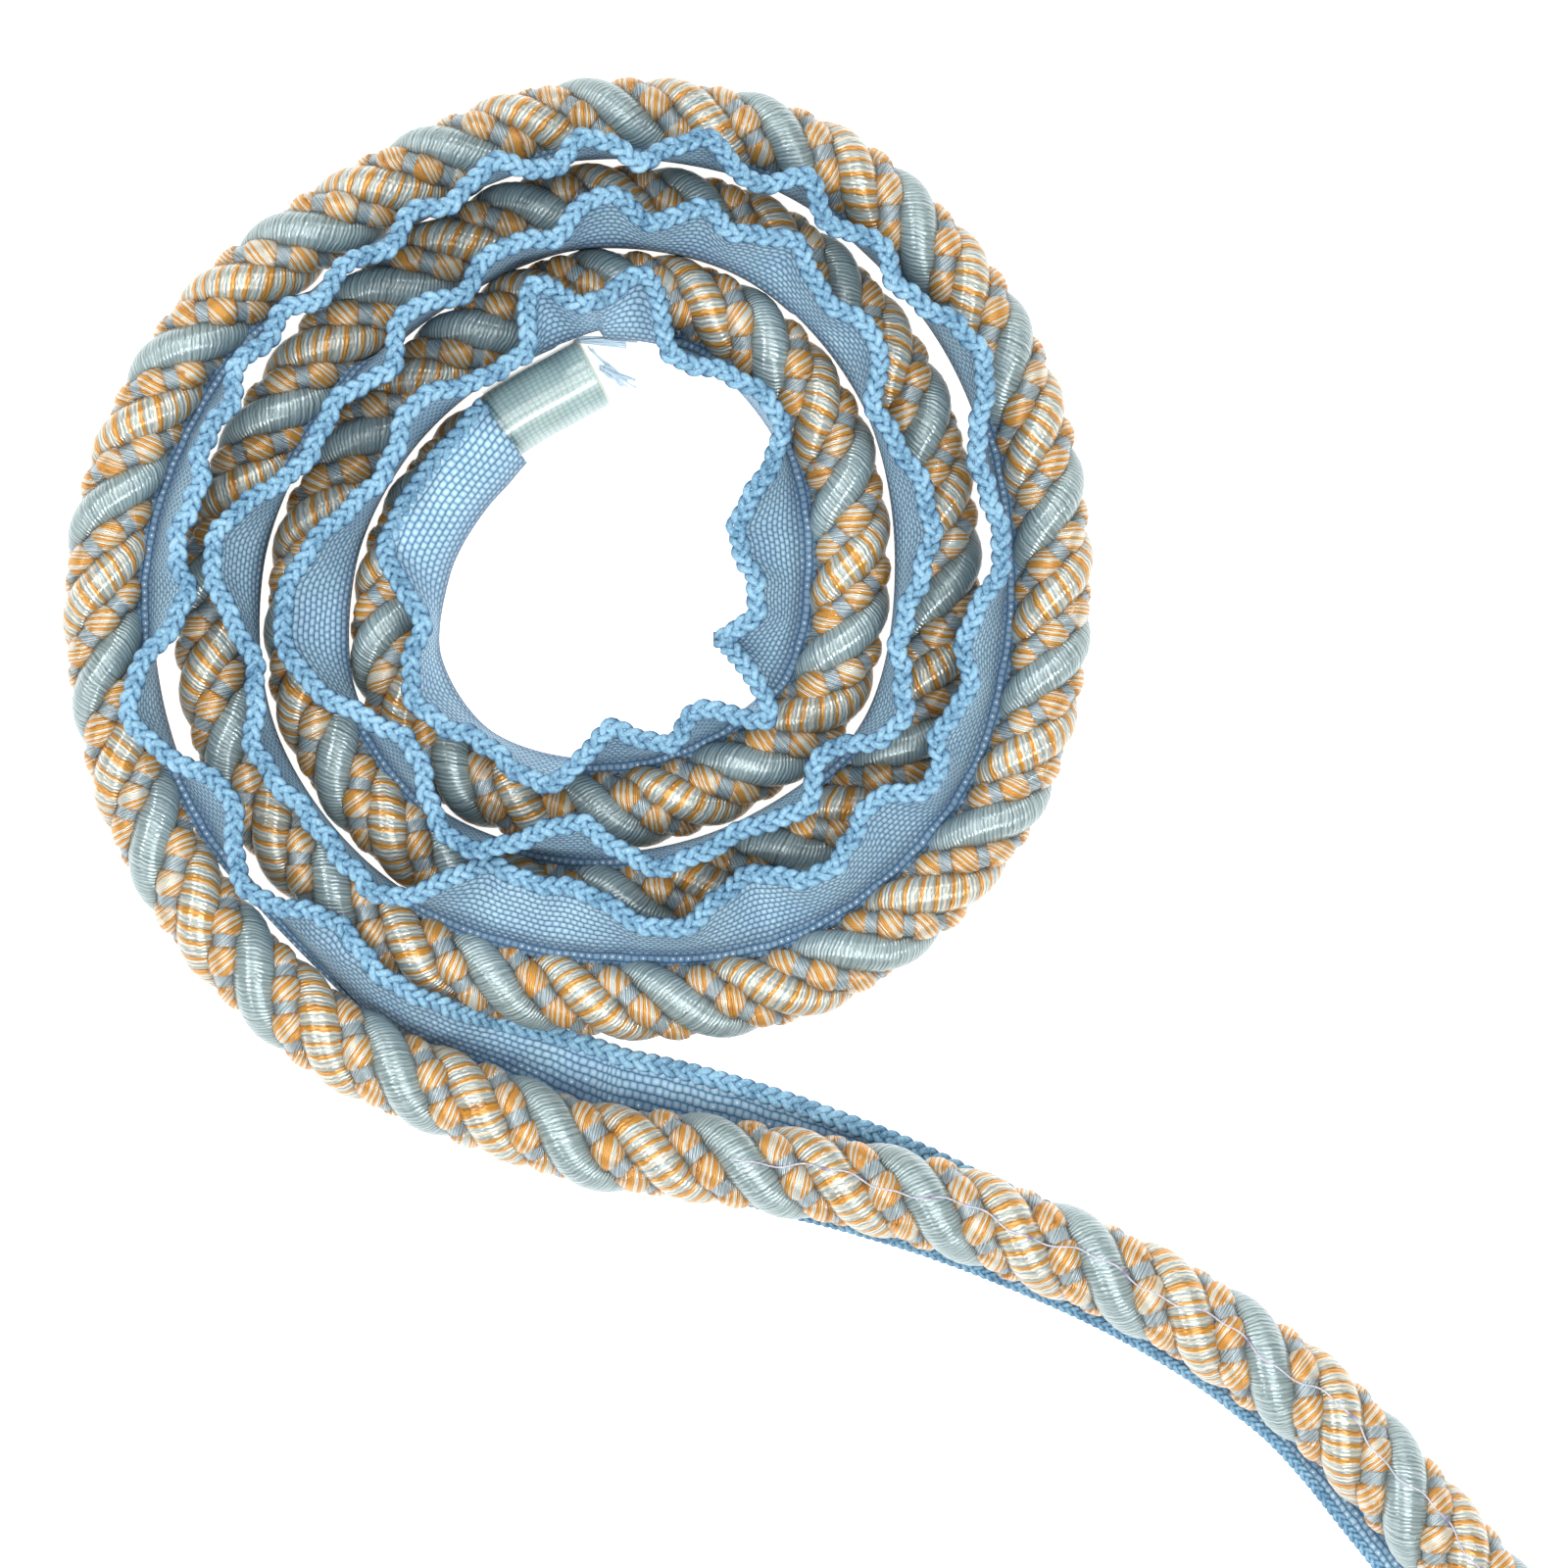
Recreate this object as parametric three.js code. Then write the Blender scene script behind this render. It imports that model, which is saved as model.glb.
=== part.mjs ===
// A twisted furnishing cord with a sewn-on lip tape, lying in a loose flat coil of three and a half turns
// with a straight tail. Millimetres, +Z up; the surface it lies on is z = 0.
import * as THREE from "three";

// The cord: two fat plies and two thin ones between them, twisted right-handed
const CORD_RADIUS = 5;
const REST_HEIGHT = 4.75;
const PLIES_OUTLINE = [
  // angle from a fat ply's crown in degrees, distance from the cord's middle as a share of its radius
  { angle: -27, share: 0.925 },
  { angle: 0, share: 1 },
  { angle: 27, share: 0.925 },
  { angle: 60, share: 0.64 },
  { angle: 90, share: 0.95 },
  { angle: 120, share: 0.64 },
];
const RINGS_PER_TWIST = 8;
// Distance along the cord, from its inner end, at which every fifth full twist is complete
const TWISTS_BETWEEN_MARKS = 5;
const TWIST_MARKS = [23, 120, 216, 320, 417, 521, 635, 732, 835, 941, 1055];

// The middle line. A coil row is a direction in degrees from +X towards +Y, then how far from the
// coil's middle the first, second, third and fourth turns cross it, counted from the innermost.
const INNER_END = [2.2, 23.6];
const COIL = [
  [90, 22.4, 33.4, 43.9, 54.4],
  [120, 19.3, 30.0, 40.7, 51.4],
  [150, 19.3, 30.0, 40.6, 54.3],
  [180, 21.7, 32.8, 44.2, 57.9],
  [210, 26.2, 36.9, 47.9, 61.0],
  [240, 29.2, 39.9, 50.5, 64.4],
  [270, 30.1, 41.1, 52.9, 70.2],
  [300, 31.7, 42.8, 58.0],
  [330, 34.2, 45.8, 59.7],
  [360, 33.4, 44.5, 58.1],
  [390, 34.6, 45.3, 58.0],
  [420, 35.2, 45.9, 57.6],
];
const TAIL = [
  [8.4, -71.8], [17.4, -73.2], [26.4, -74.9], [36, -76.8], [46.2, -79.8], [55.2, -83.2],
  [63.6, -86.8], [71.4, -90.6], [78, -94.4], [84, -98.4], [90, -102.8], [95.4, -108],
  [100.2, -113.4], [105, -118.8], [109.2, -123.6], [114.6, -130.2],
];
// Where the coil's middle lies, so that the whole trim is centred on the origin
const COIL_MIDDLE = [-27.66, 38.24];

// The lip tape. It leaves the cord's inner flank, stands up and folds to and fro.
const TAPE_THICKNESS = 1;
const LIP_WIDTH = 10.5;
const LIP_STEP = 3;
const LIP_POINTS_ACROSS = 4;
const TAPE_CLEARANCE = 0.6;
const TAPE_UNDER_GAP = 0.35;
const SEAM_ANGLE = THREE.MathUtils.degToRad(10);
// One row for each fold: distance along the cord, how far inwards of the cord's middle line the free edge
// reaches there, and how far it reaches half-way to the next row
const LIP_FOLDS = [
  { along: 12, out: -4.2, back: -4.2 }, { along: 24, out: -4.0, back: -1.8 },
  { along: 42, out: 4.8, back: 1.8 }, { along: 64, out: 4.8, back: 2.6 },
  { along: 84, out: 9.7, back: 6.6 }, { along: 99, out: 8.8, back: 3.2 },
  { along: 112, out: 14.4, back: 11.0 }, { along: 134, out: 13.8, back: 4.6 },
  { along: 169, out: 8.2, back: -1.0 }, { along: 183, out: 3.4, back: -1.0 },
  { along: 196, out: 5.6, back: 2.8 }, { along: 218, out: 5.4, back: -1.7 },
  { along: 263, out: 9.0, back: 3.4 }, { along: 293, out: 9.4, back: 3.4 },
  { along: 317, out: 4.6, back: 3.2 }, { along: 331, out: 7.2, back: 2.0 },
  { along: 352, out: 4.8, back: 1.4 }, { along: 383, out: 4.8, back: 0.5 },
  { along: 399, out: 2.3, back: -0.4 }, { along: 413, out: 2.2, back: 0.4 },
  { along: 423, out: 3.6, back: 0.3 }, { along: 437, out: 5.0, back: 4.0 },
  { along: 452, out: 6.7, back: 4.7 }, { along: 466, out: 8.6, back: 6.4 },
  { along: 482, out: 7.2, back: 0.5 }, { along: 514, out: 6.1, back: 3.5 },
  { along: 536, out: 4.9, back: 4.0 }, { along: 562, out: 13.4, back: 12.8 },
  { along: 574, out: 13.2, back: 9.0 }, { along: 602, out: 14.4, back: 10.4 },
  { along: 627, out: 13.2, back: 8.8 }, { along: 643, out: 11.0, back: 9.2 },
  { along: 657, out: 10.7, back: 6.6 }, { along: 682, out: 8.0, back: 3.2 },
  { along: 709, out: 6.9, back: 5.0 }, { along: 721, out: 7.4, back: 4.2 },
  { along: 734, out: 7.4, back: 3.5 }, { along: 750, out: 7.0, back: 4.0 },
  { along: 763, out: 7.4, back: 4.6 }, { along: 777, out: 7.0, back: 5.8 },
  { along: 787, out: 8.3, back: 6.8 }, { along: 797, out: 8.6, back: 7.0 },
  { along: 808, out: 8.4, back: 7.2 }, { along: 817, out: 9.4, back: 8.8 },
  { along: 831, out: 10.4, back: 9.6 }, { along: 847, out: 11.4, back: 3.2 },
  { along: 878, out: 11.0, back: 6.6 }, { along: 902, out: 11.4, back: 9.4 },
  { along: 926, out: 9.4, back: 10.0 }, { along: 950, out: 11.2, back: 11.2 },
];
// On the tail the lip rolls under the cord and lies flat: distance along the cord, then how far inwards
// of its middle line the free edge and the sewn edge lie
const ROLL_START = 875;
const FLAT_START = 925;
const SETTLE_LENGTH = 8;
const FLAT_WIDTH = 12.6;
const TAIL_LIP = [
  { along: 944, free: 10.8, sewn: -1.8 }, { along: 955, free: 11.2, sewn: -2 },
  { along: 968, free: 10.2, sewn: -3.6 }, { along: 980, free: 8.4, sewn: -5.2 },
  { along: 992, free: 5.8, sewn: -6 }, { along: 1010, free: 4.8, sewn: -6.1 },
  { along: 1030, free: 4.4, sewn: -6.3 }, { along: 1050, free: 4.4, sewn: -7.6 },
  { along: 1078, free: 4.4, sewn: -8.8 },
];

// The clear tape that binds the inner end, and the cord drawn in by it
const WRAP_LENGTH = 13;
const WRAP_RADIUS = 4.65;
const WRAP_WALL = 0.9;
const WRAP_SIDES = 16;
const WRAP_RINGS = 5;
const BOUND_SHARE = 0.64;
const SWELL_LENGTH = 8;
const CORD_SETBACK = 0.6;

const FRAME_STEP = 0.5;
const UP = new THREE.Vector3(0, 0, 1);

const mix = THREE.MathUtils.lerp;
const ease = THREE.MathUtils.smoothstep;

// Smooth line through hand-placed points, its slope at each point taken from the points beside it
function smoothLine(points) {
  const last = points.length - 1;
  const gaps = points.slice(1).map((point, i) => point.distanceTo(points[i]));
  const slopes = points.map((point, i) => {
    const before = Math.max(i - 1, 0);
    const after = Math.min(i + 1, last);
    const span = gaps.slice(before, after).reduce((sum, gap) => sum + gap, 0);
    return points[after].clone().sub(points[before]).divideScalar(span);
  });
  const line = [];
  gaps.forEach((gap, i) => {
    const count = Math.round(gap / FRAME_STEP);
    for (let k = 0; k < count; k += 1) {
      const t = k / count;
      const start = 2 * t ** 3 - 3 * t ** 2 + 1;
      line.push(points[i].clone().multiplyScalar(start)
        .addScaledVector(slopes[i], gap * (t ** 3 - 2 * t ** 2 + t))
        .addScaledVector(points[i + 1], 1 - start)
        .addScaledVector(slopes[i + 1], gap * (t ** 3 - t ** 2)));
    }
  });
  line.push(points[last].clone());
  return line;
}

function middleLinePoints() {
  const points = [new THREE.Vector3(...INNER_END, 0)];
  const turns = COIL[0].length - 1;
  for (let turn = 1; turn <= turns; turn += 1) {
    for (const row of COIL.filter((entry) => turn < entry.length)) {
      const direction = THREE.MathUtils.degToRad(row[0]);
      points.push(new THREE.Vector3(Math.cos(direction), Math.sin(direction), 0).multiplyScalar(row[turn]));
    }
  }
  TAIL.forEach(([x, y]) => points.push(new THREE.Vector3(x, y, 0)));
  return points;
}

// The middle line with the distance along it, the way it runs, and the turn angle about the coil's middle
function makeRoute() {
  const line = smoothLine(middleLinePoints());
  const along = [0];
  const turned = [Math.atan2(line[0].y, line[0].x)];
  for (let i = 1; i < line.length; i += 1) {
    along.push(along[i - 1] + line[i].distanceTo(line[i - 1]));
    const step = Math.atan2(line[i].y, line[i].x) - turned[i - 1];
    turned.push(turned[i - 1] + step - 2 * Math.PI * Math.round(step / (2 * Math.PI)));
  }
  return { line, along, turned, length: along[along.length - 1] };
}

const route = makeRoute();

// Index and share of the interval of a rising list that holds a value
function locate(list, value) {
  let low = 0;
  let high = list.length - 1;
  while (high - low > 1) {
    const half = (low + high) >> 1;
    if (list[half] <= value) {
      low = half;
    } else {
      high = half;
    }
  }
  return { low, share: (value - list[low]) / (list[low + 1] - list[low]) };
}

// Place on the middle line, with the directions along it and inwards from it
function stationAt(distance) {
  const { low, share } = locate(route.along, distance);
  const before = route.line[Math.max(low - 1, 0)];
  const after = route.line[Math.min(low + 2, route.line.length - 1)];
  const middle = route.line[low].clone().lerp(route.line[low + 1], share);
  const forward = after.clone().sub(before).normalize();
  return { middle, inward: UP.clone().cross(forward) };
}

// Distance to the next turn inside, or Infinity where there is none
function gapInside(distance) {
  const { low, share } = locate(route.along, distance);
  const turned = mix(route.turned[low], route.turned[low + 1], share) - 2 * Math.PI;
  if (turned < route.turned[0]) {
    return Infinity;
  }
  const inner = locate(route.turned, turned);
  const place = route.line[inner.low].clone().lerp(route.line[inner.low + 1], inner.share);
  return place.distanceTo(stationAt(distance).middle);
}

function rowValue(rows, distance, column) {
  const { low, share } = locate(rows.map((row) => row.along), distance);
  return mix(rows[low][column], rows[low + 1][column], THREE.MathUtils.clamp(share, 0, 1));
}

// How far the lip's free edge reaches in, easing from fold to fold
function lipReach(distance) {
  const { low, share } = locate(LIP_FOLDS.map((fold) => fold.along), distance);
  const fold = LIP_FOLDS[low];
  const next = LIP_FOLDS[low + 1];
  return share < 0.5
    ? mix(fold.out, fold.back, ease(share, 0, 0.5))
    : mix(fold.back, next.out, ease(share, 0.5, 1));
}

const tapeUnderneath = (distance) => (TAPE_THICKNESS + TAPE_UNDER_GAP) * ease(distance, ROLL_START, FLAT_START);
const swell = (distance) => mix(BOUND_SHARE, 1, ease(distance, WRAP_LENGTH, WRAP_LENGTH + SWELL_LENGTH));

// Height of the cord's middle line above the surface
function cordHeight(distance) {
  const bound = WRAP_RADIUS * Math.cos(Math.PI / WRAP_SIDES);
  return mix(bound, REST_HEIGHT, ease(distance, WRAP_LENGTH, WRAP_LENGTH + SWELL_LENGTH))
    + tapeUnderneath(distance);
}

// Full twists passed at a distance along the cord
function twistsAt(distance) {
  const { low, share } = locate(TWIST_MARKS, distance);
  return (low + share) * TWISTS_BETWEEN_MARKS;
}

// A point of a cross-section, given inwards and upwards from the middle line
function sectionPoint(station, inward, height) {
  return station.middle.clone().addScaledVector(station.inward, inward).setZ(Math.max(height, 0));
}

// Closed body from rings of points, each point joined to its fellow on the next ring. The two ends are
// filled flat, or a looped body joins its last ring to its first.
function joinRings(rings, { caps = [], looped = false } = {}) {
  const count = rings[0].length;
  const positions = rings.flat().flatMap((point) => point.toArray());
  const index = [];
  const steps = looped ? rings.length : rings.length - 1;
  for (let i = 0; i < steps; i += 1) {
    for (let j = 0; j < count; j += 1) {
      const here = i * count;
      const there = ((i + 1) % rings.length) * count;
      const next = (j + 1) % count;
      index.push(here + j, here + next, there + next, here + j, there + next, there + j);
    }
  }
  const lastRing = (rings.length - 1) * count;
  caps.forEach(([a, b, c]) => index.push(a, c, b, lastRing + a, lastRing + b, lastRing + c));
  const geometry = new THREE.BufferGeometry();
  geometry.setAttribute("position", new THREE.Float32BufferAttribute(positions, 3));
  geometry.setIndex(index);
  geometry.computeVertexNormals();
  return geometry;
}

// Triangles that fill a flat outline, turned the same way whichever way the outline runs
function capTriangles(outline) {
  const contour = outline.map(([x, y]) => new THREE.Vector2(x, y));
  const clockwise = THREE.ShapeUtils.isClockWise(contour);
  return THREE.ShapeUtils.triangulateShape(contour, [])
    .map(([a, b, c]) => (clockwise ? [a, c, b] : [a, b, c]));
}

function pliesOutline(radius, turn) {
  const halves = [0, Math.PI];
  return halves.flatMap((half) => PLIES_OUTLINE.map(({ angle, share }) => {
    const around = THREE.MathUtils.degToRad(angle) + half + turn;
    return [radius * share * Math.cos(around), radius * share * Math.sin(around)];
  }));
}

function cordGeometry() {
  const averageTwist = (TWIST_MARKS.at(-1) - TWIST_MARKS[0]) / (TWISTS_BETWEEN_MARKS * (TWIST_MARKS.length - 1));
  const length = route.length - CORD_SETBACK;
  const steps = Math.round((length / averageTwist) * RINGS_PER_TWIST);
  const rings = [];
  for (let i = 0; i <= steps; i += 1) {
    const distance = CORD_SETBACK + (length * i) / steps;
    const station = stationAt(distance);
    const height = cordHeight(distance);
    const turn = Math.PI / 2 + twistsAt(distance) * 2 * Math.PI;
    const outline = pliesOutline(CORD_RADIUS * swell(distance), turn);
    const floor = tapeUnderneath(distance);
    rings.push(outline.map(([x, z]) => sectionPoint(station, x, Math.max(height + z, floor))));
  }
  return joinRings(rings, { caps: capTriangles(pliesOutline(CORD_RADIUS, 0)) });
}

// Course of the lip across its width, in its cross-section, for one lean of its free edge from upright:
// straight up from the seam, round its own cord if it leans back, or over the next turn if it leans far in
function lipCourse(seamAngle, bendRadius, gap, lean) {
  const start = [bendRadius * Math.cos(seamAngle), bendRadius * Math.sin(seamAngle)];
  const away = Math.hypot(gap - start[0], start[1]);
  const toNext = Math.atan2(gap - start[0], -start[1]);
  const leanMost = gap === Infinity ? Math.PI : toNext - Math.asin(Math.min(1, bendRadius / away));
  const leanLeast = -seamAngle;
  const first = THREE.MathUtils.clamp(lean, leanLeast, leanMost);
  const side = Math.sign(lean - first);
  const straight = side > 0 ? Math.sqrt(Math.max(0, away ** 2 - bendRadius ** 2)) : 0;
  return (width) => {
    const before = side === 0 ? width : Math.min(width, straight);
    const bent = side === 0 ? 0 : Math.min((width - before) / bendRadius, Math.abs(lean - first));
    const now = first + side * bent;
    const after = width - before - bent * bendRadius;
    return [
      start[0] + before * Math.sin(first) + side * bendRadius * (Math.cos(first) - Math.cos(now))
        + after * Math.sin(now),
      start[1] + before * Math.cos(first) + side * bendRadius * (Math.sin(now) - Math.sin(first))
        + after * Math.cos(now),
    ];
  };
}

// The course whose free edge reaches as far in as asked
function lipCourseFor(reach, width, seamAngle, bendRadius, gap) {
  let low = -0.75 * Math.PI;
  let high = 0.75 * Math.PI;
  for (let i = 0; i < 30; i += 1) {
    const lean = (low + high) / 2;
    if (lipCourse(seamAngle, bendRadius, gap, lean)(width)[0] < reach) {
      low = lean;
    } else {
      high = lean;
    }
  }
  return lipCourse(seamAngle, bendRadius, gap, low);
}

// Middle of the tape's thickness at evenly spaced points across it, inwards and upwards. Along the coil it
// leaves the cord's flank; where the tail begins its seam turns under the cord and the tape comes down flat.
function lipAcross(distance) {
  const half = TAPE_THICKNESS / 2;
  const height = cordHeight(distance);
  const bendRadius = CORD_RADIUS * swell(distance) + half + TAPE_CLEARANCE;
  const gap = gapInside(distance);
  const pinch = Math.acos(Math.min(1, gap / (2 * bendRadius)));
  const underneath = -Math.asin((height - half) / bendRadius);
  const seamAngle = mix(Math.max(SEAM_ANGLE, pinch), underneath, ease(distance, ROLL_START, FLAT_START));
  const width = mix(LIP_WIDTH, FLAT_WIDTH, ease(distance, ROLL_START, FLAT_START));
  const course = lipCourseFor(lipReach(distance), width, seamAngle, bendRadius, gap);
  const free = rowValue(TAIL_LIP, distance, "free");
  const sewn = rowValue(TAIL_LIP, distance, "sewn");
  const down = ease(distance, FLAT_START - SETTLE_LENGTH, FLAT_START + SETTLE_LENGTH);
  const under = ease(distance, FLAT_START, TAIL_LIP[0].along);
  return Array.from({ length: LIP_POINTS_ACROSS }, (_, k) => {
    const share = k / (LIP_POINTS_ACROSS - 1);
    const [x, z] = course(share * width);
    return [mix(x, mix(sewn, free, share), under), Math.max(half, mix(height + z, half, down))];
  });
}

// Outline of a strip of even thickness about a line of points
function stripOutline(points, thickness) {
  const sides = [1, -1].map((side) => points.map(([x, z], k) => {
    const before = points[Math.max(k - 1, 0)];
    const after = points[Math.min(k + 1, points.length - 1)];
    const size = Math.hypot(after[0] - before[0], after[1] - before[1]);
    const shift = (side * thickness) / (2 * size);
    return [x - shift * (after[1] - before[1]), z + shift * (after[0] - before[0])];
  }));
  return [...sides[0].reverse(), ...sides[1]];
}

function lipGeometry() {
  const start = WRAP_LENGTH + TAPE_CLEARANCE;
  const steps = Math.round((route.length - start) / LIP_STEP);
  const outlines = [];
  const rings = [];
  for (let i = 0; i <= steps; i += 1) {
    const distance = mix(start, route.length, i / steps);
    const station = stationAt(distance);
    const outline = stripOutline(lipAcross(distance), TAPE_THICKNESS);
    outlines.push(outline);
    rings.push(outline.map(([x, z]) => sectionPoint(station, x, z)));
  }
  return joinRings(rings, { caps: capTriangles(outlines.at(-1)) });
}

function wrapGeometry() {
  const ringAt = (distance, radius) => {
    const station = stationAt(distance);
    const height = cordHeight(0);
    return Array.from({ length: WRAP_SIDES }, (_, j) => {
      const around = ((j + 0.5) * 2 * Math.PI) / WRAP_SIDES;
      return sectionPoint(station, radius * Math.cos(around), height + radius * Math.sin(around));
    });
  };
  const places = Array.from({ length: WRAP_RINGS }, (_, i) => (WRAP_LENGTH * i) / (WRAP_RINGS - 1));
  const outside = places.map((distance) => ringAt(distance, WRAP_RADIUS));
  const inside = places.map((distance) => ringAt(distance, WRAP_RADIUS - WRAP_WALL)).reverse();
  return joinRings([...outside, ...inside], { looped: true });
}

function piece(name, geometry, look) {
  const mesh = new THREE.Mesh(geometry, new THREE.MeshStandardMaterial({ metalness: 0, ...look }));
  mesh.name = name;
  return mesh;
}

const trim = new THREE.Group();
trim.position.set(...COIL_MIDDLE, 0);
trim.add(
  piece("twisted_cord", cordGeometry(), { color: "#cfb489", roughness: 0.5 }),
  piece("lip_tape", lipGeometry(), { color: "#73a5d2", roughness: 0.85 }),
  piece("end_wrap", wrapGeometry(), { color: "#a9c9c4", roughness: 0.2, transparent: true, opacity: 0.6 }),
);

export default trim;
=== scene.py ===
# A twisted furnishing cord with a sewn-on lip tape, lying in a loose flat coil with a straight tail.
# Sizes are millimetres and +Z is up. Sections are given inwards and upwards from the cord's middle line, and
# places from the coil's middle; every mesh is scaled to metres and moved into the frame when it is made.
import math

import bpy
import numpy as np
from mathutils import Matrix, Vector
from mathutils.bvhtree import BVHTree


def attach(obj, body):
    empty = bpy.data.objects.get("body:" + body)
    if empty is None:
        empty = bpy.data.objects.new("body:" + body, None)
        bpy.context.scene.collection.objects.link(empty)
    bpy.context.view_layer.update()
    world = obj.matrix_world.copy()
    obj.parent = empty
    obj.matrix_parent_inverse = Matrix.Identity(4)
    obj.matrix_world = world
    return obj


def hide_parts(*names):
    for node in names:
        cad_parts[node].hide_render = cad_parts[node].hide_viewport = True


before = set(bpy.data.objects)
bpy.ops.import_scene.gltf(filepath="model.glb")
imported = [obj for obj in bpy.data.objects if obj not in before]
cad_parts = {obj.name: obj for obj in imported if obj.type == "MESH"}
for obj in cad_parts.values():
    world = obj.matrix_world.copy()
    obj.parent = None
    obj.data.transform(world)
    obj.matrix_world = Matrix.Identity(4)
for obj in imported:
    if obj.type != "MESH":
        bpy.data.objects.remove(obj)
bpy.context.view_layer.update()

MM = 0.001
COIL_MIDDLE = np.array([-27.66, 38.24, 0])
FRAME_STEP = 0.5
# The path of the cord takes one point of the middle line in every few
PATH_EVERY = 4
UP = np.array([[0, 0, 1.0]])
# A little off the vertical, so that a thread that points straight up still has a side
NEARLY_UP = np.array([[0.02, 0.03, 1.0]])
# The meshes' map from which a material knows which way its ply runs
GRAIN_MAP = "grain"
random = np.random.default_rng(7)

# The cord
CORD_RADIUS = 5.0
REST_HEIGHT = 4.75
TWISTS_BETWEEN_MARKS = 5
# Distance along the cord at which every fifth full twist is complete, with the satin ply on top
TWIST_MARKS = [23, 120, 216, 320, 417, 521, 635, 732, 835, 941, 1055]
INNER_END = (2.2, 23.6)
# Direction in degrees, then how far from the coil's middle each turn crosses it, from the innermost out
COIL = [
    (90, 22.4, 33.4, 43.9, 54.4),
    (120, 19.3, 30.0, 40.7, 51.4),
    (150, 19.3, 30.0, 40.6, 54.3),
    (180, 21.7, 32.8, 44.2, 57.9),
    (210, 26.2, 36.9, 47.9, 61.0),
    (240, 29.2, 39.9, 50.5, 64.4),
    (270, 30.1, 41.1, 52.9, 70.2),
    (300, 31.7, 42.8, 58.0),
    (330, 34.2, 45.8, 59.7),
    (360, 33.4, 44.5, 58.1),
    (390, 34.6, 45.3, 58.0),
    (420, 35.2, 45.9, 57.6),
]
TAIL = [
    (8.4, -71.8), (17.4, -73.2), (26.4, -74.9), (36, -76.8), (46.2, -79.8), (55.2, -83.2),
    (63.6, -86.8), (71.4, -90.6), (78, -94.4), (84, -98.4), (90, -102.8), (95.4, -108),
    (100.2, -113.4), (105, -118.8), (109.2, -123.6), (114.6, -130.2),
]
FAT_PLY_CENTRE = 2.5
FAT_PLY_RADIUS = 2.52
FAT_PLY_SIDES = 18
# Distance from one ring of the mesh to the next
SATIN_STEP = 0.55
STRIPED_STEP = 0.4
# How far the wound thread of a ply slants lengthwise for each millimetre round it
FAT_PLY_SLANT = 0.2
THIN_PLY_SLANT = -0.8
THIN_PLY_CENTRE = 2.98
THIN_PLY_SIDES = 14
BARREL_RADIUS = 1.94
WAIST_RADIUS = 1.5
BEAD_LENGTH = 4.5
# Least and most of a single bead's length and thickness, as shares of the usual ones
BEAD_LENGTHS = (0.84, 1.14)
BEAD_THICKNESSES = (0.92, 1.06)
# Beads beyond the usual number for the ply's length, dropped where they aren't needed
BEADS_TO_SPARE = 16
# Places of a bead's rings, and where its barrel gives way to the waist, as shares of its length
BEAD_RINGS = [0.0, 0.025, 0.08, 0.2, 0.35, 0.5, 0.62, 0.675, 0.7, 0.73, 0.85, 0.97]
BARREL_SHARE = 0.7
BARREL_SQUARENESS = 0.24
FLOOR_GAP = 0.02

# Distance along the cord, how much fuller than in the coil it is there, and how far inwards it has crept
FULLNESS = np.array([
    (862, 1.0, 0), (892, 1.09, -0.5), (940, 1.09, -0.5), (962, 1.12, 0.3), (990, 1.17, 0.6),
    (1020, 1.17, 0.6), (1040, 1.17, 0.1),
])

# The lip tape
SHEET_THICKNESS = 0.55
LIP_WIDTH = 10.5
FLAT_WIDTH = 12.6
TAPE_CLEARANCE = 0.6
SHEET_STEP = 0.8
SHEET_POINTS = 14
SEAM_ANGLE = math.radians(10)
TUCK_DEPTH = 1.7
TUCK_LEAST = 0.2
# The tape rolls in under the cord from the first of these distances along it and is flat from the second
ROLL_START = 875
FLAT_START = 925
SETTLE_LENGTH = 8
# Leans of the free edge that are tried, in radians from upright, and how often their range is halved
LEAN_MOST = 0.75 * math.pi
HALVINGS = 26
# Distances along the cord between which the tape's foot closes the gap to the next turn
CLOSED_STRETCHES = [(184, 202), (396, 470), (768, 803)]
CLOSING_LENGTH = 6
WIDEST_GAP = 20
TAPE_UNDERNEATH = 1.35
# Ripples: their length and height, how much of the height each has, over what length that changes, how their
# places drift, and how they grow across the tape
PUCKER_LENGTH = 6.2
PUCKER_HEIGHT = 0.4
PUCKER_SHARES = (0.4, 1.0)
PUCKER_SPAN = 9
PUCKER_DRIFT = 1.8
PUCKER_DRIFT_LENGTH = 11.0
PUCKER_GROWTH = 1.5
# How far out from the cord a painted shadow darkens the tape, in the coil and in the tail
ROOT_REACH = 3.0
TAIL_SHADE = 2.4
TAIL_SHADE_LEAST = 0.22
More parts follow.
